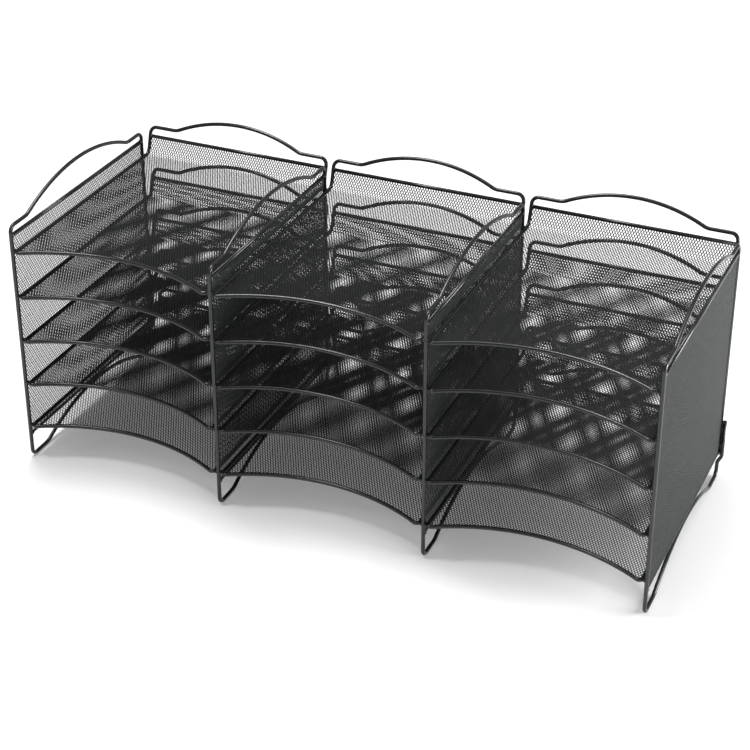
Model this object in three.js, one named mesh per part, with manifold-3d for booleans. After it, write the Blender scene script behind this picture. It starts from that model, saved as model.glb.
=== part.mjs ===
// Desktop file sorter: three columns of five letter trays, made of bent steel wire and steel mesh.
// Four upright side frames carry the trays. Each tray is a wire loop with a mesh floor that turns up
// into a low back, and the loop rises behind it into a hump. Every piece is welded to its neighbours.
//
// Millimetres, +Z up. X runs along the width, and -Y is the open front. The origin is on the desk,
// under the middle of the sorter.

import * as THREE from "three";
import { mergeVertices } from "three/addons/utils/BufferGeometryUtils.js";
import Module from "manifold-3d";

const wasm = await Module();
wasm.setup();

// Driving dimensions
const columnNames = ["left", "middle", "right"];
const sideNames = ["left_end", "left_inner", "right_inner", "right_end"];
const levelCount = 5;
const columnPitch = 246;
const levelPitch = 56;
const postDepth = 283; // front post to rear post, centre to centre
const gap = 0.3; // left between pieces that are welded together

const sideWireRadius = 2.25;
const trayWireRadius = 2.25;
const railRadius = 2.25;
const sheetThickness = 0.8;

// A hump, on the side frames and on the backs of the trays, is a level shoulder, a soft kink and an arc
const sideHump = { cornerRadius: 8, shoulder: 28, kinkRadius: 22, rise: 25 };
const trayHump = { cornerRadius: 8, shoulder: 31.5, kinkRadius: 20, rise: 18.5 };

// Heights above the desk
const lowestTray = 44;
const lowerShoulder = sideWireRadius;
const upperShoulder = 297.5;
const topRailHeight = 286.5;

// Heights above a tray's floor
const trayShoulder = 32;
const trayRimHeight = 21;

// The trays in plan
const trayFrontOverhang = 1.5; // how far the front wire's corners stand before the posts
const trayCornerRadius = 4;
const fingerNotchDepth = 30;
const trayRearOverhang = 17; // from the rear posts back to the hump's shoulders
const trayBendRadius = 10;
const backLean = radians(16); // the tray's back leans this far behind the vertical

// The side frame's wire ends beside itself, on a short lap welded to the rear post
const lapOffset = 2 * sideWireRadius + gap;
const lapTop = 74;
const lapBottom = 29;
const joggleHeight = 12;
const rearPostEnd = 31;

// The side panel's lower edge is rolled into a hem
const hemWidth = 3;
const hemHeight = 3;

// A wire is exactly straight from this far past each bend, so that the feet are truly level
const bendMargin = 2;

// How finely the round wires and their bends are cut
const wireSides = 6;
const sideFrameSides = 8;
const arcSteps = 6;
const cornerSteps = 2;
const kinkSteps = 1;
const mergeDistance = 1e-4; // corners closer than this are one corner

// Places that follow from them
const trayHalfWidth = columnPitch / 2 - sideWireRadius - gap - trayWireRadius;
const trayFront = -trayFrontOverhang;
const shoulderY = postDepth + trayRearOverhang;
const bendEnd = trayBendRadius * (1 - Math.sin(backLean));
const bendStart = backY(bendEnd) - trayBendRadius * Math.cos(backLean);
const overallDepth = backY(trayShoulder + trayHump.rise) - trayFront + 2 * trayWireRadius;
const frontPostY = -overallDepth / 2 + trayWireRadius + trayFrontOverhang;

const wireFinish = { color: 0x3c4040, roughness: 0.42, metalness: 0.35 };
const meshFinish = { color: 0x2b2e2e, roughness: 0.55, metalness: 0.35 };

// A wire's centre line, held as the points where it bends. Evenly spaced shares of it fall on them.
class BentWire extends THREE.Curve {
  constructor(points, closed) {
    super();
    this.points = points;
    this.closed = closed;
    this.spans = closed ? points.length : points.length - 1;
  }

  pointNumber(number) {
    const count = this.points.length;
    return this.closed
      ? this.points[(number + count) % count]
      : this.points[Math.min(Math.max(number, 0), count - 1)];
  }

  getPointAt(share, target = new THREE.Vector3()) {
    return target.copy(this.pointNumber(Math.round(share * this.spans)));
  }

  getTangentAt(share, target = new THREE.Vector3()) {
    const number = Math.round(share * this.spans);
    const here = this.pointNumber(number);
    const arriving = here.clone().sub(this.pointNumber(number - 1)).normalize();
    const leaving = this.pointNumber(number + 1).clone().sub(here).normalize();
    return target.copy(arriving.add(leaving)).normalize();
  }
}

function radians(degrees) {
  return (degrees * Math.PI) / 180;
}

// How far back the leaning back of a tray stands at a height above the tray's floor
function backY(height) {
  return shoulderY + (height - trayShoulder) * Math.tan(backLean);
}

// Points on a flat arc, both ends included, at angles in radians
function arc(centreU, centreV, radius, from, to, steps) {
  const points = [];
  for (let step = 0; step <= steps; step += 1) {
    const angle = from + ((to - from) * step) / steps;
    points.push([centreU + radius * Math.cos(angle), centreV + radius * Math.sin(angle)]);
  }
  return points;
}

// The turn at each end of a flat arc that rises by `rise` over half the span `reach`
function endTurn(rise, reach) {
  return 2 * Math.atan(rise / reach);
}

// One hump from its left upright, at -halfWidth, to its right one. The shoulders lie at height 0, and
// `uprights` is -1 where the uprights come up to them and 1 where the uprights come down to them.
function humpPoints(halfWidth, { cornerRadius, shoulder, kinkRadius, rise }, uprights) {
  const quarter = Math.PI / 2;
  const reach = halfWidth - shoulder;
  const turn = endTurn(rise, reach);
  const arcRadius = reach / Math.sin(turn) - kinkRadius;
  const cornerU = halfWidth - cornerRadius;
  const cornerV = uprights * cornerRadius;
  const leftEnd = 2 * quarter + uprights * quarter;
  const rightStart = -uprights * quarter;
  return [
    ...arc(-cornerU, cornerV, cornerRadius, 2 * quarter, leftEnd, cornerSteps),
    [-cornerU + bendMargin, 0],
    [-reach - bendMargin, 0],
    ...arc(-reach, kinkRadius, kinkRadius, -quarter, turn - quarter, kinkSteps),
    ...arc(0, rise - arcRadius, arcRadius, quarter + turn, quarter - turn, arcSteps).slice(1, -1),
    ...arc(reach, kinkRadius, kinkRadius, -quarter - turn, -quarter, kinkSteps),
    [reach + bendMargin, 0],
    [cornerU - bendMargin, 0],
    ...arc(cornerU, cornerV, cornerRadius, rightStart, 0, cornerSteps),
  ];
}

// A regular polygon whose flats, not its corners, are `radius` from the middle
function wireSection(radius, sides) {
  const cornerRadius = radius / Math.cos(Math.PI / sides);
  const corners = [];
  for (let corner = 0; corner < sides; corner += 1) {
    const angle = (2 * Math.PI * (corner + 0.5)) / sides;
    corners.push(new THREE.Vector2(cornerRadius * Math.cos(angle), cornerRadius * Math.sin(angle)));
  }
  return new THREE.Shape(corners);
}

function openWire(points, radius, sides) {
  const extrudePath = new BentWire(points, false);
  return new THREE.ExtrudeGeometry(wireSection(radius, sides), {
    steps: extrudePath.spans,
    bevelEnabled: false,
    extrudePath,
  });
}

function closedWire(points, radius, sides) {
  const path = new BentWire(points, true);
  return new THREE.TubeGeometry(path, path.spans, radius, sides, true);
}

// The wire loop of one side frame. `lap` says which way the wire's end steps aside on the rear post.
function sideFrame(lap) {
  const middle = postDepth / 2;
  const place = ([along, height]) => new THREE.Vector3(0, along + middle, height);
  const upper = humpPoints(middle, sideHump, -1).map(([along, height]) =>
    place([along, upperShoulder + height]),
  );
  const lower = humpPoints(middle, sideHump, 1).map(([along, height]) =>
    place([-along, lowerShoulder + height]),
  );
  const onLap = (height) => new THREE.Vector3(lap.x, postDepth + lap.y, height);
  const onPost = (height) => new THREE.Vector3(0, postDepth, height);
  const joggleEnd = lapBottom - joggleHeight;
  const points = [
    onLap(lapTop),
    onLap(lapBottom),
    onPost(joggleEnd),
    onPost(joggleEnd - bendMargin),
    ...lower,
    ...upper,
    onPost(rearPostEnd),
  ];
  return openWire(points, sideWireRadius, sideFrameSides);
}

// A straight wire along Y, centred on the origin
function rail(length) {
  return new THREE.CylinderGeometry(railRadius, railRadius, length, wireSides);
}

// The side's mesh, a flat panel between the posts with its lower edge rolled into a hem
function sideMesh() {
  const bottom = lowerShoulder + sideHump.rise + sideWireRadius + gap;
  const top = topRailHeight - railRadius - gap;
  const hemTop = bottom + hemHeight;
  const section = new THREE.Shape([
    new THREE.Vector2(-hemWidth / 2, bottom),
    new THREE.Vector2(hemWidth / 2, bottom),
    new THREE.Vector2(hemWidth / 2, hemTop),
    new THREE.Vector2(sheetThickness / 2, hemTop),
    new THREE.Vector2(sheetThickness / 2, top),
    new THREE.Vector2(-sheetThickness / 2, top),
    new THREE.Vector2(-sheetThickness / 2, hemTop),
    new THREE.Vector2(-hemWidth / 2, hemTop),
  ]);
  const length = postDepth - 2 * (sideWireRadius + gap);
  const geometry = new THREE.ExtrudeGeometry(section, { depth: length, bevelEnabled: false });
  geometry.rotateX(Math.PI / 2);
  geometry.translate(0, postDepth - sideWireRadius - gap, 0);
  return geometry;
}

// The front edge of a tray in plan, left to right, at `inset` inside the wire's centre line
function trayFrontEdge(inset) {
  const quarter = Math.PI / 2;
  const reach = trayHalfWidth - trayCornerRadius;
  const turn = endTurn(fingerNotchDepth, reach);
  const bowRadius = reach / Math.sin(turn) - trayCornerRadius;
  const cornerV = trayFront + trayCornerRadius;
  const bowV = trayFront + fingerNotchDepth - bowRadius;
  const cornerRadius = trayCornerRadius - inset;
  return [
    ...arc(-reach, cornerV, cornerRadius, -2 * quarter, turn - quarter, cornerSteps + 1),
    ...arc(0, bowV, bowRadius + inset, quarter + turn, quarter - turn, arcSteps).slice(1, -1),
    ...arc(reach, cornerV, cornerRadius, -quarter - turn, 0, cornerSteps + 1),
  ];
}

// The bend from the floor up into the leaning back, seen from the side, at a radius
function trayBend(radius) {
  return arc(bendStart, trayBendRadius, radius, radians(-90), -backLean, cornerSteps);
}

// The tray's wire loop: front edge, sides, the bends at the rear and the hump behind the mesh
function trayFrame() {
  const bend = trayBend(trayBendRadius);
  const front = trayFrontEdge(0).map(([x, y]) => new THREE.Vector3(x, y, 0));
  const rightBend = bend.map(([y, z]) => new THREE.Vector3(trayHalfWidth, y, z));
  const leftBend = bend.map(([y, z]) => new THREE.Vector3(-trayHalfWidth, y, z)).reverse();
  const hump = humpPoints(trayHalfWidth, trayHump, -1)
    .map(([x, height]) => [x, trayShoulder + height])
    .map(([x, z]) => new THREE.Vector3(x, backY(z), z))
    .reverse();
  return closedWire([...front, ...rightBend, ...hump, ...leftBend], trayWireRadius, wireSides);
}

function toSolid(geometry) {
  const bare = geometry.clone();
  bare.deleteAttribute("normal");
  bare.deleteAttribute("uv");
  const merged = mergeVertices(bare, mergeDistance);
  const vertProperties = new Float32Array(merged.attributes.position.array);
  const triVerts = new Uint32Array(merged.index.array);
  return new wasm.Manifold(new wasm.Mesh({ numProp: 3, vertProperties, triVerts }));
}

function toGeometry(solid) {
  const { vertProperties, triVerts } = solid.getMesh();
  const geometry = new THREE.BufferGeometry();
  geometry.setAttribute("position", new THREE.BufferAttribute(vertProperties, 3));
  geometry.setIndex(new THREE.BufferAttribute(triVerts, 1));
  const flatShaded = geometry.toNonIndexed();
  flatShaded.computeVertexNormals();
  return flatShaded;
}

// The tray's mesh: one sheet, flat as the floor, bent up at the rear and cut to the front edge
function trayMesh() {
  const half = sheetThickness / 2;
  const clearance = trayWireRadius + gap;
  const width = 2 * (trayHalfWidth - clearance);
  const top = trayRimHeight - railRadius - gap;
  const halfAcross = half / Math.cos(backLean);
  const section = new THREE.Shape(
    [
      [trayFront, -half],
      ...trayBend(trayBendRadius + half),
      [backY(top) + halfAcross, top],
      [backY(top) - halfAcross, top],
      ...trayBend(trayBendRadius - half).reverse(),
      [trayFront, half],
    ].map(([y, z]) => new THREE.Vector2(y, z)),
  );
  const sheet = new THREE.ExtrudeGeometry(section, { depth: width, bevelEnabled: false });
  // The section's own axes, along, up and across, become Y, Z and X
  sheet.applyMatrix4(new THREE.Matrix4().set(0, 0, 1, -width / 2, 1, 0, 0, 0, 0, 1, 0, 0, 0, 0, 0, 1));

  const beyond = 10; // how far the cutter reaches past the sheet all round
  const edge = trayFrontEdge(clearance);
  const outside = new THREE.Shape(
    [
      ...edge,
      [trayHalfWidth + beyond, edge.at(-1)[1]],
      [trayHalfWidth + beyond, trayFront - beyond],
      [-trayHalfWidth - beyond, trayFront - beyond],
      [-trayHalfWidth - beyond, edge[0][1]],
    ].map(([x, y]) => new THREE.Vector2(x, y)),
  );
  const cutter = new THREE.ExtrudeGeometry(outside, { depth: 2 * beyond, bevelEnabled: false });
  cutter.translate(0, 0, -beyond);
  return toGeometry(toSolid(sheet).subtract(toSolid(cutter)));
}

function piece(name, geometry, finish) {
  const mesh = new THREE.Mesh(geometry, new THREE.MeshStandardMaterial(finish));
  mesh.name = name;
  return mesh;
}

// One upright side: wire loop, top rail and mesh panel, in the plane of its posts
function side(name, lap) {
  const assembly = new THREE.Group();
  assembly.add(piece(`side_${name}_frame`, sideFrame(lap), wireFinish));
  const topRailLength = postDepth - 2 * (sideWireRadius + gap);
  const topRail = piece(`side_${name}_top_rail`, rail(topRailLength), wireFinish);
  topRail.position.set(0, postDepth / 2, topRailHeight);
  assembly.add(topRail);
  assembly.add(piece(`side_${name}_mesh`, sideMesh(), meshFinish));
  return assembly;
}

// One tray: wire loop, the rim wire along the top of the mesh back, and the mesh
function tray(name) {
  const assembly = new THREE.Group();
  assembly.add(piece(`${name}_frame`, trayFrame(), wireFinish));
  const rimLength = 2 * (trayHalfWidth - trayWireRadius - gap);
  const rim = piece(`${name}_rim`, rail(rimLength), wireFinish);
  rim.rotation.z = Math.PI / 2;
  rim.position.set(0, backY(trayRimHeight), trayRimHeight);
  assembly.add(rim);
  assembly.add(piece(`${name}_mesh`, trayMesh(), meshFinish));
  return assembly;
}

// The end sides lap outwards. The inner ones lap backwards, because trays pass on both sides of them.
function lapDirection(number) {
  if (number === 0) {
    return new THREE.Vector2(-lapOffset, 0);
  }
  if (number === sideNames.length - 1) {
    return new THREE.Vector2(lapOffset, 0);
  }
  return new THREE.Vector2(0, lapOffset);
}

const group = new THREE.Group();
group.position.y = frontPostY;

sideNames.forEach((name, number) => {
  const upright = side(name, lapDirection(number));
  upright.position.x = (number - (sideNames.length - 1) / 2) * columnPitch;
  group.add(upright);
});

columnNames.forEach((column, number) => {
  for (let level = 1; level <= levelCount; level += 1) {
    const shelf = tray(`tray_${column}_${level}`);
    shelf.position.x = (number - (columnNames.length - 1) / 2) * columnPitch;
    shelf.position.z = lowestTray + (level - 1) * levelPitch;
    group.add(shelf);
  }
});

export default group;
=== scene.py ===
# A desktop file sorter of bent steel wire and diamond steel mesh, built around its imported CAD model.
#
# Metres, +Z up. X runs along the width and -Y is the open front. Every wire and every mesh sheet of the
# CAD model is replaced here by a finer one in the same place: round wires with smooth bends, and
# sheets made of crossing steel strands. Weld beads join the pieces.

import math

import bmesh
import bpy
from mathutils import Matrix, Vector, noise


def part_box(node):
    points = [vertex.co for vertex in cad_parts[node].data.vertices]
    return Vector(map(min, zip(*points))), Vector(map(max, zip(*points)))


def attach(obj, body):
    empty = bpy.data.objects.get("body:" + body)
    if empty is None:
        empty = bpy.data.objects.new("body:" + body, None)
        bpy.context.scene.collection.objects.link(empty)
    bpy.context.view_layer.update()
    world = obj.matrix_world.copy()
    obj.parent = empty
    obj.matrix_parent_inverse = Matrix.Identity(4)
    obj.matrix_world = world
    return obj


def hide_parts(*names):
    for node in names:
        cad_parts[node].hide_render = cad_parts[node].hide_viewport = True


# Driving dimensions, the same as the CAD model's
COLUMNS = ("left", "middle", "right")
SIDES = ("left_end", "left_inner", "right_inner", "right_end")
LEVELS = (1, 2, 3, 4, 5)
COLUMN_PITCH = 0.246
POST_DEPTH = 0.283
SIDE_WIRE_RADIUS = 0.00225
TRAY_WIRE_RADIUS = 0.00225
RAIL_RADIUS = 0.00225
SHEET_THICKNESS = 0.0008
CAD_GAP = 0.0003  # the CAD model leaves this between pieces that are welded together
WELD_DEPTH = 0.001  # sheets and straight wires reach this far into the wire they are welded to

# A hump, from each upright inwards: the radius of the corner, where the level shoulder ends, the radius
# of the soft kink there, and the rise of the arc in the middle
SIDE_HUMP = {"corner": 0.008, "shoulder": 0.028, "kink": 0.022, "rise": 0.025}
TRAY_HUMP = {"corner": 0.008, "shoulder": 0.0315, "kink": 0.020, "rise": 0.0185}

# Heights above the desk
UPPER_SHOULDER = 0.2975
TOP_RAIL_HEIGHT = 0.2865
LAP_TOP = 0.074
LAP_BOTTOM = 0.029
REAR_POST_END = 0.031

# Heights above a tray's floor
TRAY_SHOULDER = 0.032
TRAY_RIM_HEIGHT = 0.021

# The trays in plan and in section
FRONT_OVERHANG = 0.0015
TRAY_CORNER_RADIUS = 0.004
FINGER_NOTCH_DEPTH = 0.030
REAR_OVERHANG = 0.017
TRAY_BEND_RADIUS = 0.010
BACK_LEAN = math.radians(16)

# The side frame's wire ends beside itself, on a short lap at the rear post
LAP_OFFSET = 2 * SIDE_WIRE_RADIUS
JOGGLE_HEIGHT = 0.012  # just under the lap, the wire steps sideways over this height

# The rolled lower edge of a side panel
HEM_RADIUS = 0.0015
HEM_BOTTOM = SIDE_WIRE_RADIUS + SIDE_HUMP["rise"] + SIDE_WIRE_RADIUS + CAD_GAP

# The diamonds of the mesh, and the flat strands between them
DIAMOND_WIDTH = 0.0032
DIAMOND_LENGTH = 0.0060
STRAND_WIDTH = 0.00095
STRAND_THICKNESS = 0.0006
STRAND_STAGGER = 0.00012  # each crossing set of strands lies this far to its own side of the middle

# Half axes of the weld beads
POST_BEAD = (0.0027, 0.0029, 0.0024)
LAP_BEAD = (0.0019, 0.0019, 0.0050)
TRAY_BEAD = (0.0020, 0.0033, 0.0021)
RIM_BEAD = (0.0025, 0.0023, 0.0025)
BEAD_UNEVENNESS = 0.10  # the share by which a bead swells and shrinks
BEAD_LUMPS = 1.7  # the scale of the noise that does this, on a ball of radius 1
LAP_WELD_SHARES = (0.25, 0.75)  # how far up the lap its two welds are
FRONT_WELD_SETBACK = 0.0005  # a tray's front welds lie this far behind the middle of the posts

# How finely the shapes are cut
WIRE_SIDES = 14
CORNER_STEPS = 8
KINK_STEPS = 6
ARC_STEPS = 28
BEND_STEPS = 8
BEAD_SUBDIVISIONS = 3
FRONT_SEARCH_STEPS = 24  # halvings to find where a strand meets the front wire

# The powder coat: a faint mottle in its colour and gloss, under a fine orange peel
MOTTLE_SCALE = 180.0
MOTTLE_DETAIL = 3.0
MOTTLE_SPAN = (0.35, 0.65)  # the values of the noise where the coat is darkest and lightest
GLOSS_SPREAD = 0.06
PEEL_SCALE = 2200.0
PEEL_DETAIL = 2.0
PEEL_STRENGTH = 0.25
PEEL_DEPTH = 0.00003

# The camera: lens and sensor in millimetres, and the shift as a share of the picture
CAMERA_PLACE = (0.7462, -1.6849, 1.2090)
CAMERA_AZIMUTH = math.radians(23.9)
CAMERA_ELEVATION = math.radians(28.4)
CAMERA_LENS = 90.768
CAMERA_SENSOR = 36.0
CAMERA_SHIFT = -0.1
CAMERA_REACH = 100

# The glowing white floor, and the light around it
FLOOR_HALF_SIZE = 40.0
FLOOR_COLOUR = (0.86, 0.86, 0.86, 1)
FLOOR_ROUGHNESS = 0.9
FLOOR_GLOW = 0.20
SURROUNDING_LIGHT = 0.36
KEY_STRENGTH = 0.9
KEY_ANGLE = math.radians(40)
KEY_DIRECTION = (0.05, -0.25, -1.0)

TRAY_HALF_WIDTH = COLUMN_PITCH / 2 - SIDE_WIRE_RADIUS - CAD_GAP - TRAY_WIRE_RADIUS
QUARTER = math.pi / 2


def back_y(height):
    """How far behind the front posts the leaning back of a tray stands, at a height above its floor."""
    return POST_DEPTH + REAR_OVERHANG + (height - TRAY_SHOULDER) * math.tan(BACK_LEAN)


# The bend from a tray's floor up into its back
BEND_TURN = QUARTER - BACK_LEAN
BEND_TOP = TRAY_BEND_RADIUS * (1 - math.sin(BACK_LEAN))
BEND_START = back_y(BEND_TOP) - TRAY_BEND_RADIUS * math.cos(BACK_LEAN)


# ---------------------------------------------------------------- lines in a plane


def arc(centre_u, centre_v, radius, start, end, steps):
    """Points on an arc, both ends included."""
    angles = [start + (end - start) * step / steps for step in range(steps + 1)]
    return [(centre_u + radius * math.cos(a), centre_v + radius * math.sin(a)) for a in angles]


def end_turn(rise, reach):
    """The turn at each end of an arc that rises by `rise` over half the span `reach`."""
    return 2 * math.atan(rise / reach)


def hump(half_width, shape, uprights):
    """One hump from its left upright to its right one, with its shoulders at height 0.

    `uprights` is -1 where the uprights come up to the shoulders and 1 where they come down to them.
    """
    reach = half_width - shape["shoulder"]
    turn = end_turn(shape["rise"], reach)
    kink = shape["kink"]
    radius = reach / math.sin(turn) - kink
    corner = shape["corner"]
    corner_u = half_width - corner
    corner_v = uprights * corner
    left_end = 2 * QUARTER + uprights * QUARTER
    return [
        *arc(-corner_u, corner_v, corner, 2 * QUARTER, left_end, CORNER_STEPS),
        *arc(-reach, kink, kink, -QUARTER, turn - QUARTER, KINK_STEPS),
        *arc(0, shape["rise"] - radius, radius, QUARTER + turn, QUARTER - turn, ARC_STEPS)[1:-1],
        *arc(reach, kink, kink, -QUARTER - turn, -QUARTER, KINK_STEPS),
        *arc(corner_u, corner_v, corner, -uprights * QUARTER, 0, CORNER_STEPS),
    ]


def tray_front_edge(inset):
    """The front edge of a tray in plan, left to right, at `inset` inside the wire's centre line."""
    reach = TRAY_HALF_WIDTH - TRAY_CORNER_RADIUS
    turn = end_turn(FINGER_NOTCH_DEPTH, reach)
    bow = reach / math.sin(turn) - TRAY_CORNER_RADIUS
    corner_v = TRAY_CORNER_RADIUS - FRONT_OVERHANG
    bow_v = FINGER_NOTCH_DEPTH - FRONT_OVERHANG - bow
    corner = TRAY_CORNER_RADIUS - inset
    return [
        *arc(-reach, corner_v, corner, -2 * QUARTER, turn - QUARTER, CORNER_STEPS),
        *arc(0, bow_v, bow + inset, QUARTER + turn, QUARTER - turn, ARC_STEPS)[1:-1],
        *arc(reach, corner_v, corner, -QUARTER - turn, 0, CORNER_STEPS),
    ]


# ---------------------------------------------------------------- meshes


def mesh_object(name, vertices, faces, smooth):
    """A named object from plain lists, with its normals pointing outwards."""
    mesh = bpy.data.meshes.new(name)
    mesh.from_pydata(vertices, [], faces)
    shell = bmesh.new()
    shell.from_mesh(mesh)
    bmesh.ops.recalc_face_normals(shell, faces=shell.faces)
    shell.to_mesh(mesh)
    shell.free()
    mesh.polygons.foreach_set("use_smooth", [smooth] * len(mesh.polygons))
    obj = bpy.data.objects.new(name, mesh)
    bpy.context.collection.objects.link(obj)
    return obj


def wire_tangents(points, closed):
    """The direction in which a wire runs at each of its points."""
    count = len(points)
    spans = count if closed else count - 1
    directions = [(points[(i + 1) % count] - points[i]).normalized() for i in range(spans)]
    tangents = []
    for i in range(count):
        arriving = directions[i - 1] if closed or i > 0 else directions[0]
        leaving = directions[i] if i < spans else directions[-1]
        tangents.append((arriving + leaving).normalized())
    return tangents


def directions_across(tangents):
    """A direction across a wire at each of its points, carried along the wire without spinning."""
    across = tangents[0].orthogonal().normalized()
    carried = [across]
    for before, after in zip(tangents, tangents[1:]):
        across = before.rotation_difference(after) @ across
        carried.append(across)
    return carried


def closing_twist(tangents, carried):
    """The turn about a closed wire that brings the direction carried round it back to the first one."""
    returned = tangents[-1].rotation_difference(tangents[0]) @ carried[-1]
    upright = tangents[0].cross(carried[0])
    return -math.atan2(returned.dot(upright), returned.dot(carried[0]))


def add_tube(parts, points, radius, closed=False):
    """Adds a round wire along `points` to the (vertices, faces) in `parts`, capped at open ends."""
    vertices, faces = parts
    first = len(vertices)
    count = len(points)
    tangents = wire_tangents(points, closed)
    carried = directions_across(tangents)
    twist = closing_twist(tangents, carried) if closed else 0.0

    for i, (point, tangent, across) in enumerate(zip(points, tangents, carried)):
        upright = tangent.cross(across)
        for side in range(WIRE_SIDES):
            angle = 2 * math.pi * side / WIRE_SIDES + twist * i / count
            vertices.append(point + radius * (math.cos(angle) * across + math.sin(angle) * upright))
    for i in range(count if closed else count - 1):
        here = first + i * WIRE_SIDES
        there = first + ((i + 1) % count) * WIRE_SIDES
        for side in range(WIRE_SIDES):
            beside = (side + 1) % WIRE_SIDES
            faces.append((here + side, here + beside, there + beside, there + side))
    if not closed:
        last = first + (count - 1) * WIRE_SIDES
        faces.extend(tuple(range(end, end + WIRE_SIDES)) for end in (first, last))


def tube_object(name, points, radius, closed=False):
    """A named round wire, smooth along its length and flat at its ends."""
    parts = ([], [])
    add_tube(parts, points, radius, closed)
    obj = mesh_object(name, *parts, smooth=True)
    for face in obj.data.polygons:
        face.use_smooth = len(face.vertices) == 4
    return obj


def add_bead(parts, centre, size, seed):
    """Adds one weld bead: a low lump of metal with half axes `size`. `seed` picks how it is uneven."""
    vertices, faces = parts
    ball = bmesh.new()
    bmesh.ops.create_icosphere(ball, subdivisions=BEAD_SUBDIVISIONS, radius=1.0)
    first = len(vertices)
    for vertex in ball.verts:
        swell = noise.noise(vertex.co * BEAD_LUMPS + Vector((seed, 0, 0)))
        lump = 1 + BEAD_UNEVENNESS * swell
        vertices.append(centre + Vector(a * b for a, b in zip(vertex.co * lump, size)))
    faces.extend(tuple(first + v.index for v in face.verts) for face in ball.faces)
    ball.free()


# ---------------------------------------------------------------- side frames and their panels


def side_wire(lap):
    """The centre line of a side frame, in the plane X = 0 with its front post at Y = 0.

    `lap` is the step from the rear post to the end of the wire beside it.
    """
    middle = POST_DEPTH / 2
    upper = [Vector((0, u + middle, UPPER_SHOULDER + v)) for u, v in hump(middle, SIDE_HUMP, -1)]
    lower = [Vector((0, middle - u, SIDE_WIRE_RADIUS + v)) for u, v in hump(middle, SIDE_HUMP, 1)]
    on_post = Vector((0, POST_DEPTH, 0))
    foot = on_post + Vector((0, 0, LAP_BOTTOM - JOGGLE_HEIGHT))
    top = on_post + lap + Vector((0, 0, LAP_TOP))
    joggle = []
    for step in range(CORNER_STEPS + 1):
        share = step / CORNER_STEPS
        eased = share * share * (3 - 2 * share)
        joggle.append(foot + lap * eased + Vector((0, 0, JOGGLE_HEIGHT * share)))
    joggle.reverse()
    return [top, *joggle, *lower, *upper, on_post + Vector((0, 0, REAR_POST_END))]


def strand_lines(width, length):
    """Where the strands of a sheet run, as (lean, start, slope): u = start + slope * v along a strand.

    The sheet lies at 0 <= v <= length and |u| <= width / 2, with its diamonds long along v. The two
    crossing sets of strands lean 1 and -1.
    """
    lines = []
    for lean in (1, -1):
        slope = lean * DIAMOND_WIDTH / DIAMOND_LENGTH
        first = -width / 2 - max(slope * length, 0)
        count = int((width + abs(slope) * length) / DIAMOND_WIDTH)
        lines.extend((lean, first + number * DIAMOND_WIDTH, slope) for number in range(count + 1))
    return lines


def clip_strand(start, slope, width, length, front):
    """The part of a strand that lies on the sheet, as its lowest and highest v, or None."""
    enters, leaves = sorted(((-width / 2 - start) / slope, (width / 2 - start) / slope))
    low, high = max(0, enters), min(length, leaves)

    def before_front(v):
        return front is not None and v < front(start + slope * v)

    if high <= low or before_front(high):
        return None
    if before_front(low):
        outside, inside = low, high
        for _ in range(FRONT_SEARCH_STEPS):
            middle = (outside + inside) / 2
            if before_front(middle):
                outside = middle
            else:
                inside = middle
        low = inside
    return (low, high) if high - low > STRAND_WIDTH else None


def add_strand(parts, points, normals, width, thickness):
    """Adds a flat strand along `points`, crowned on both faces, to the (vertices, faces) in `parts`."""
    vertices, faces = parts
    section = [
        (-width / 2, 0),
        (-width / 4, -thickness / 2),
        (width / 4, -thickness / 2),
        (width / 2, 0),
        (width / 4, thickness / 2),
        (-width / 4, thickness / 2),
    ]
    first = len(vertices)
    last_point = len(points) - 1
    for i, (point, normal) in enumerate(zip(points, normals)):
        along = points[min(i + 1, last_point)] - points[max(i - 1, 0)]
        across = along.cross(normal).normalized()
        vertices.extend(point + across * a + normal * b for a, b in section)
    sides = len(section)
    for i in range(last_point):
        here = first + i * sides
        for side in range(sides):
            beside = (side + 1) % sides
            faces.append((here + side, here + beside, here + sides + beside, here + sides + side))
    faces.append(tuple(range(first, first + sides)))
    faces.append(tuple(range(first + last_point * sides, first + (last_point + 1) * sides)))


def lattice(parts, width, length, front, place, breaks):
    """Adds the strands of one sheet of diamond mesh.

    `place(u, v)` gives a point of the sheet and its normal, and `breaks` are the values of v at which
    the sheet bends. `front(u)` is where the sheet starts, or None where it starts at v = 0.
    """
    for lean, start, slope in strand_lines(width, length):
        span = clip_strand(start, slope, width, length, front)
        if span is None:
            continue
        low, high = span
        stops = [low, *(v for v in breaks if low < v < high), high]
        placed = [place(start + slope * v, v) for v in stops]
        normals = [normal for _, normal in placed]
        points = [point + normal * (lean * STRAND_STAGGER) for point, normal in placed]
        add_strand(parts, points, normals, STRAND_WIDTH, STRAND_THICKNESS)


def side_panel(name):
    """The panel of a side: diamond mesh from the hem up to the top rail, between the posts."""
    parts = ([], [])
    width = POST_DEPTH - 2 * WELD_DEPTH
    bottom = HEM_BOTTOM + HEM_RADIUS
    height = TOP_RAIL_HEIGHT - bottom

    def place(u, v):
        return Vector((0, POST_DEPTH / 2 + u, bottom + v)), Vector((1, 0, 0))

    lattice(parts, width, height, None, place, ())
    hem = [Vector((0, y, bottom)) for y in (SIDE_WIRE_RADIUS, POST_DEPTH - SIDE_WIRE_RADIUS)]
    add_tube(parts, hem, HEM_RADIUS)
    return mesh_object(name, *parts, smooth=False)


# ---------------------------------------------------------------- trays


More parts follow.
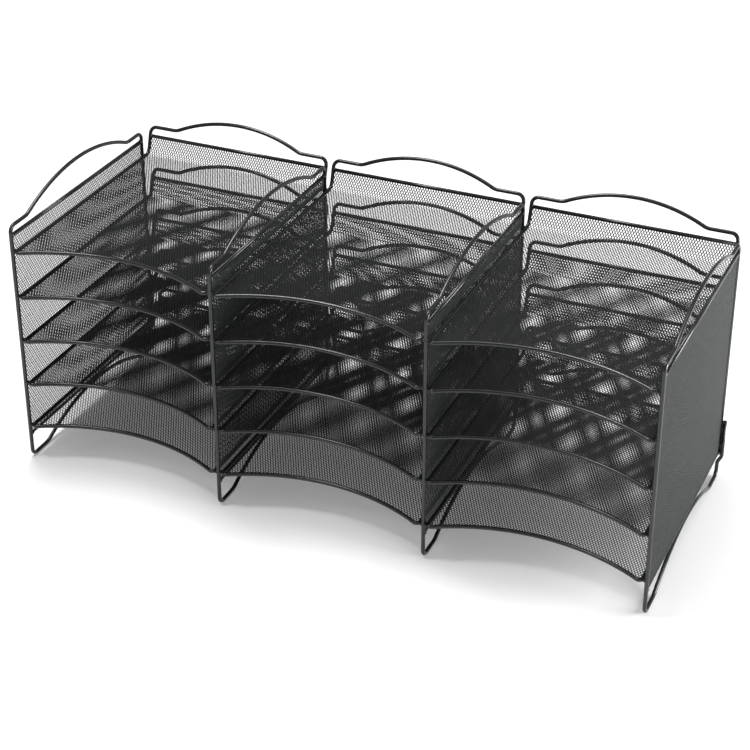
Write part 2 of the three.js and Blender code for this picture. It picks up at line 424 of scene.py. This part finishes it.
def tray_section(v):
    """A tray's sheet seen from the side: (y, z, tilt) at the distance v along it from its front."""
    flat = BEND_START + FRONT_OVERHANG
    bend = TRAY_BEND_RADIUS * BEND_TURN
    if v <= flat:
        return v - FRONT_OVERHANG, 0.0, 0.0
    tilt = min((v - flat) / TRAY_BEND_RADIUS, BEND_TURN)
    y = BEND_START + TRAY_BEND_RADIUS * math.sin(tilt)
    z = TRAY_BEND_RADIUS * (1 - math.cos(tilt))
    beyond = max(v - flat - bend, 0.0)
    return y + beyond * math.cos(tilt), z + beyond * math.sin(tilt), tilt


def tray_wire():
    """The centre line of a tray's wire loop, with its floor at Z = 0 and the front posts at Y = 0."""
    section = arc(BEND_START, TRAY_BEND_RADIUS, TRAY_BEND_RADIUS, -QUARTER, -BACK_LEAN, BEND_STEPS)
    front = [Vector((x, y, 0)) for x, y in tray_front_edge(0)]
    right = [Vector((TRAY_HALF_WIDTH, y, z)) for y, z in section]
    left = [Vector((-TRAY_HALF_WIDTH, y, z)) for y, z in reversed(section)]
    heights = [(x, TRAY_SHOULDER + v) for x, v in reversed(hump(TRAY_HALF_WIDTH, TRAY_HUMP, -1))]
    return [*front, *right, *(Vector((x, back_y(z), z)) for x, z in heights), *left]


def tray_sheet(name):
    """The mesh of a tray: floor, rear bend and leaning back, cut to the bowed front edge."""
    parts = ([], [])
    width = 2 * (TRAY_HALF_WIDTH - WELD_DEPTH)
    edge = [(x, y + FRONT_OVERHANG) for x, y in tray_front_edge(WELD_DEPTH)]
    bend_v = BEND_START + FRONT_OVERHANG
    bend = TRAY_BEND_RADIUS * BEND_TURN
    length = bend_v + bend + (TRAY_RIM_HEIGHT - BEND_TOP) / math.cos(BACK_LEAN)

    def front(u):
        for (x0, y0), (x1, y1) in zip(edge, edge[1:]):
            if x0 <= u <= x1:
                return y0 + (y1 - y0) * (u - x0) / (x1 - x0)
        return edge[0][1]

    def place(u, v):
        y, z, tilt = tray_section(v)
        return Vector((u, y, z)), Vector((0, -math.sin(tilt), math.cos(tilt)))

    breaks = [bend_v + bend * step / BEND_STEPS for step in range(BEND_STEPS + 1)]
    lattice(parts, width, length, front, place, breaks)
    return mesh_object(name, *parts, smooth=False)


def tray_rim(name):
    """The straight wire along the top of a tray's mesh back."""
    reach = TRAY_HALF_WIDTH - WELD_DEPTH
    y = back_y(TRAY_RIM_HEIGHT)
    ends = [Vector((x, y, TRAY_RIM_HEIGHT)) for x in (-reach, reach)]
    return tube_object(name, ends, RAIL_RADIUS)


# ---------------------------------------------------------------- placing


def place_piece(obj, origin, material, node=None):
    """Moves a finished mesh to its origin in the frame and ties it to the frame's body."""
    obj.data.transform(Matrix.Translation(origin))
    obj.data.materials.append(material)
    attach(obj, "root")
    if node is not None:
        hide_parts(node)


def lap_vector(number):
    """Which way a side frame's wire laps itself: outwards on the end sides, backwards on the inner."""
    if number == 0:
        return Vector((-LAP_OFFSET, 0, 0))
    if number == len(SIDES) - 1:
        return Vector((LAP_OFFSET, 0, 0))
    return Vector((0, LAP_OFFSET, 0))


def build_side(number, name, materials):
    """One upright side: its wire loop, top rail, mesh panel and welds."""
    node = f"side_{name}"
    lowest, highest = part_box(f"{node}_mesh")
    x = (lowest[0] + highest[0]) / 2
    front_post_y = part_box(f"{node}_frame")[0][1] + SIDE_WIRE_RADIUS
    origin = Vector((x, front_post_y, 0))
    lap = lap_vector(number)

    wire = tube_object(f"{node}_wire", side_wire(lap), SIDE_WIRE_RADIUS)
    place_piece(wire, origin, materials["wire"], f"{node}_frame")

    ends = [Vector((0, y, TOP_RAIL_HEIGHT)) for y in (WELD_DEPTH, POST_DEPTH - WELD_DEPTH)]
    rail = tube_object(f"{node}_rail", ends, RAIL_RADIUS)
    place_piece(rail, origin, materials["wire"], f"{node}_top_rail")

    panel = side_panel(f"{node}_panel")
    place_piece(panel, origin, materials["side_mesh"], f"{node}_mesh")

    beads = ([], [])
    for i, y in enumerate((SIDE_WIRE_RADIUS, POST_DEPTH - SIDE_WIRE_RADIUS)):
        for j, z in enumerate((TOP_RAIL_HEIGHT, HEM_BOTTOM + HEM_RADIUS)):
            add_bead(beads, Vector((0, y, z)), POST_BEAD, 7 * number + 2 * i + j)
    for i, share in enumerate(LAP_WELD_SHARES):
        height = LAP_BOTTOM + share * (LAP_TOP - LAP_BOTTOM)
        between = Vector((0, POST_DEPTH, height)) + lap / 2
        add_bead(beads, between, LAP_BEAD, 31 * number + i)
    welds = mesh_object(f"{node}_welds", *beads, smooth=True)
    place_piece(welds, origin, materials["wire"])


def build_tray(number, name, materials):
    """One tray: its wire loop, the rim wire of its back, the mesh and the welds."""
    lowest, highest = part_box(f"{name}_mesh")
    x = (lowest[0] + highest[0]) / 2
    front_post_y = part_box("side_left_inner_frame")[0][1] + SIDE_WIRE_RADIUS
    floor_z = lowest[2] + SHEET_THICKNESS / 2
    origin = Vector((x, front_post_y, floor_z))

    wire = tube_object(f"{name}_wire", tray_wire(), TRAY_WIRE_RADIUS, closed=True)
    place_piece(wire, origin, materials["wire"], f"{name}_frame")
    rim = tray_rim(f"{name}_back_rim")
    place_piece(rim, origin, materials["wire"], f"{name}_rim")
    sheet = tray_sheet(f"{name}_sheet")
    place_piece(sheet, origin, materials["tray_mesh"], f"{name}_mesh")

    beads = ([], [])
    joint_x = COLUMN_PITCH / 2 - SIDE_WIRE_RADIUS
    rim_y = back_y(TRAY_RIM_HEIGHT)
    for side in (-1, 1):
        for i, y in enumerate((FRONT_WELD_SETBACK, POST_DEPTH)):
            seed = 13 * number + 3 * i + side
            add_bead(beads, Vector((side * joint_x, y, 0)), TRAY_BEAD, seed)
        rim_end = Vector((side * (TRAY_HALF_WIDTH - TRAY_WIRE_RADIUS), rim_y, TRAY_RIM_HEIGHT))
        add_bead(beads, rim_end, RIM_BEAD, 17 * number + side)
    welds = mesh_object(f"{name}_welds", *beads, smooth=True)
    place_piece(welds, origin, materials["wire"])


# ---------------------------------------------------------------- materials


def powder_coat(name, dark, light, roughness, shine):
    """Satin powder coat on steel, mottled between two colours. `shine` is its specular level."""
    material = bpy.data.materials.new(name)
    material.use_nodes = True
    nodes = material.node_tree.nodes
    link = material.node_tree.links.new
    shader = nodes["Principled BSDF"]
    shader.inputs["Specular IOR Level"].default_value = shine

    place = nodes.new("ShaderNodeTexCoord")
    mottle = nodes.new("ShaderNodeTexNoise")
    mottle.inputs["Scale"].default_value = MOTTLE_SCALE
    mottle.inputs["Detail"].default_value = MOTTLE_DETAIL
    link(place.outputs["Object"], mottle.inputs["Vector"])

    colour = nodes.new("ShaderNodeValToRGB")
    for stop, position, shade in zip(colour.color_ramp.elements, MOTTLE_SPAN, (dark, light)):
        stop.position = position
        stop.color = (*shade, 1)
    link(mottle.outputs["Fac"], colour.inputs["Fac"])
    link(colour.outputs["Color"], shader.inputs["Base Color"])

    gloss = nodes.new("ShaderNodeMapRange")
    gloss.inputs["To Min"].default_value = roughness - GLOSS_SPREAD
    gloss.inputs["To Max"].default_value = roughness + GLOSS_SPREAD
    link(mottle.outputs["Fac"], gloss.inputs["Value"])
    link(gloss.outputs["Result"], shader.inputs["Roughness"])

    peel = nodes.new("ShaderNodeTexNoise")
    peel.inputs["Scale"].default_value = PEEL_SCALE
    peel.inputs["Detail"].default_value = PEEL_DETAIL
    link(place.outputs["Object"], peel.inputs["Vector"])
    bump = nodes.new("ShaderNodeBump")
    bump.inputs["Strength"].default_value = PEEL_STRENGTH
    bump.inputs["Distance"].default_value = PEEL_DEPTH
    link(peel.outputs["Fac"], bump.inputs["Height"])
    link(bump.outputs["Normal"], shader.inputs["Normal"])
    return material


def make_materials():
    """One charcoal coat: glossy and nearly black on the wires, and duller on the mesh. The side panels'
    mesh is painted several times lighter, a painted sheen for the light the outer panels catch; the
    trays' mesh stays almost as dark as the wires, partly painted shade for the shaded insides of the
    trays.
    """
    near_black = ((0.006, 0.007, 0.007), (0.011, 0.012, 0.012))
    # The trays' mesh stays nearly as dark as the wires: partly the coat's own tone, partly painted
    # shade for the shaded insides of the trays
    painted_shade_tray_grey = ((0.007, 0.008, 0.008), (0.012, 0.013, 0.013))
    # The side panels' mesh is painted several times lighter than the same coat on the trays: painted
    # sheen for the light the outer panels catch
    painted_sheen_side_grey = ((0.026, 0.029, 0.029), (0.040, 0.044, 0.044))
    return {
        "wire": powder_coat("charcoal_wire", *near_black, roughness=0.20, shine=0.55),
        "tray_mesh": powder_coat("charcoal_tray_mesh_painted_shade", *painted_shade_tray_grey, roughness=0.42, shine=0.28),
        "side_mesh": powder_coat("charcoal_side_mesh_painted_sheen", *painted_sheen_side_grey, roughness=0.42, shine=0.28),
    }


# ---------------------------------------------------------------- camera, light and floor


def make_camera():
    """The photograph's view, from the front right and above, shifted a little for its upright posts."""
    level = math.cos(CAMERA_ELEVATION)
    right = level * math.sin(CAMERA_AZIMUTH)
    front = level * math.cos(CAMERA_AZIMUTH)
    ahead = Vector((-right, front, -math.sin(CAMERA_ELEVATION)))
    data = bpy.data.cameras.new("camera")
    data.sensor_width = CAMERA_SENSOR
    data.lens = CAMERA_LENS
    data.shift_y = CAMERA_SHIFT
    data.clip_end = CAMERA_REACH
    camera = bpy.data.objects.new("camera", data)
    camera.location = CAMERA_PLACE
    camera.rotation_euler = ahead.to_track_quat("-Z", "Y").to_euler()
    bpy.context.collection.objects.link(camera)
    bpy.context.scene.camera = camera


def make_floor():
    """A white light table, which keeps the shadow under the sorter pale."""
    material = bpy.data.materials.new("studio_floor")
    material.use_nodes = True
    shader = material.node_tree.nodes["Principled BSDF"]
    shader.inputs["Base Color"].default_value = FLOOR_COLOUR
    shader.inputs["Roughness"].default_value = FLOOR_ROUGHNESS
    shader.inputs["Emission Color"].default_value = (1, 1, 1, 1)
    shader.inputs["Emission Strength"].default_value = FLOOR_GLOW
    half = FLOOR_HALF_SIZE
    corners = [(-half, -half, 0), (half, -half, 0), (half, half, 0), (-half, half, 0)]
    floor = mesh_object("studio_floor", corners, [(0, 1, 2, 3)], smooth=False)
    floor.data.materials.append(material)


def soft_box(name, place, aim, size, power):
    """A rectangular lamp of `power` watts at `place`, turned towards `aim`."""
    data = bpy.data.lights.new(name, "AREA")
    data.shape = "RECTANGLE"
    data.size, data.size_y = size
    data.energy = power
    light = bpy.data.objects.new(name, data)
    light.location = place
    light.rotation_euler = (Vector(aim) - Vector(place)).to_track_quat("-Z", "Y").to_euler()
    bpy.context.collection.objects.link(light)


def make_light():
    """Plain soft studio light: a broad key from above, two boxes above the left, one to the right."""
    scene = bpy.context.scene
    world = bpy.data.worlds.new("studio")
    world.use_nodes = True
    background = world.node_tree.nodes["Background"]
    background.inputs["Color"].default_value = (1, 1, 1, 1)
    background.inputs["Strength"].default_value = SURROUNDING_LIGHT
    scene.world = world

    sun = bpy.data.lights.new("key", "SUN")
    sun.energy = KEY_STRENGTH
    sun.angle = KEY_ANGLE
    key = bpy.data.objects.new("key", sun)
    key.rotation_euler = Vector(KEY_DIRECTION).to_track_quat("-Z", "Y").to_euler()
    bpy.context.collection.objects.link(key)

    middle = (0, 0, 0.2)
    right_panel = (0.37, 0, 0.15)
    soft_box("top_box", place=(-0.55, 0.25, 2.0), aim=middle, size=(0.6, 0.6), power=20)
    soft_box("front_box", place=(-0.75, -0.55, 1.9), aim=middle, size=(0.4, 0.4), power=10)
    soft_box("right_box", place=(2.2, 0.3, 0.5), aim=right_panel, size=(1.2, 0.8), power=65)
    scene.view_settings.view_transform = "Standard"


# ---------------------------------------------------------------- the scene

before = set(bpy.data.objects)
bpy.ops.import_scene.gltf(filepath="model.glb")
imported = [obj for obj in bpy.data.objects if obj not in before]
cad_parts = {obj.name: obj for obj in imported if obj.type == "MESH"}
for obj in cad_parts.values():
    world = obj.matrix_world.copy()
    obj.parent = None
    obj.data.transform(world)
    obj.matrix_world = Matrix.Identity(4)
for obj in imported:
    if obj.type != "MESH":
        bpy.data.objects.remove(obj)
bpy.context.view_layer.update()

make_camera()
make_floor()
make_light()

finishes = make_materials()
for side_number, side_name in enumerate(SIDES):
    build_side(side_number, side_name, finishes)
for column_number, column_name in enumerate(COLUMNS):
    for level in LEVELS:
        tray_number = len(LEVELS) * column_number + level
        build_tray(tray_number, f"tray_{column_name}_{level}", finishes)
